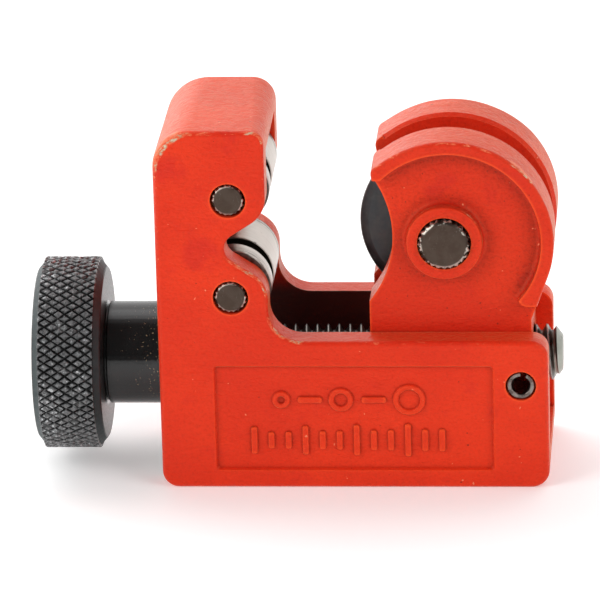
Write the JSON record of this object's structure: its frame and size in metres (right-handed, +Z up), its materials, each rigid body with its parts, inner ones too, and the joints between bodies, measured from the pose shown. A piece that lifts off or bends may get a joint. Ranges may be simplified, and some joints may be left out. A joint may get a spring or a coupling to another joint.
{
  "type": "pipe cutter",
  "caption": "Small screw-feed pipe cutter: a red cast channel body with two rollers, a sliding head with a cutting wheel, and a knurled knob.",
  "frame": {"origin": "on the surface the tool stands on, under the middle of its overall box", "axes": "+X along the feed screw from the knob to the channel's open end, +Y across the tool to its rear face, +Z up"},
  "size_m": [0.048, 0.0176, 0.0341],
  "materials": {
    "red_paint": "semi-gloss red paint over a sand-textured casting",
    "ground_steel": "ground, bright",
    "dark_steel": "dull dark steel",
    "tool_steel": "dark hardened steel",
    "screw_steel": "bright steel",
    "black_oxide": "black oxide, knurled",
    "spring_steel": "oiled spring steel"
  },
  "bodies": {
    "frame": {"body": "red_paint", "upper_roller_pin": "dark_steel", "lower_roller_pin": "dark_steel", "stop_pin": "spring_steel"},
    "upper_roller": {"upper_roller": "ground_steel"},
    "lower_roller": {"lower_roller": "ground_steel"},
    "knob": {"knob": "black_oxide", "feed_screw": "screw_steel", "retaining_ring": "spring_steel"},
    "head": {"slider": "red_paint", "cutter_wheel_pin": "dark_steel"},
    "wheel": {"cutter_wheel": "tool_steel"}
  },
  "joints": [
    {"name": "knob_turn", "type": "hinge", "parent": "frame", "child": "knob", "pos_m": [-0.017, 0, 0.01016], "axis": [1, 0, 0], "range_deg": [-2542, 3115]},
    {"name": "head_feed", "type": "slide", "parent": "frame", "child": "head", "axis": [1, 0, 0], "range_m": [-0.00865, 0.00706]},
    {"name": "wheel_spin", "type": "hinge", "parent": "head", "child": "wheel", "pos_m": [0.01362, 0, 0.02298], "axis": [0, 1, 0], "continuous": true},
    {"name": "upper_roller_spin", "type": "hinge", "parent": "frame", "child": "upper_roller", "pos_m": [-0.00562, 0, 0.0276], "axis": [0, 1, 0], "continuous": true},
    {"name": "lower_roller_spin", "type": "hinge", "parent": "frame", "child": "lower_roller", "pos_m": [-0.00562, 0, 0.01836], "axis": [0, 1, 0], "continuous": true}
  ],
  "couplings": [
    {"joint": "knob_turn", "follows": "head_feed", "rad_per_m": -6283.2}
  ]
}
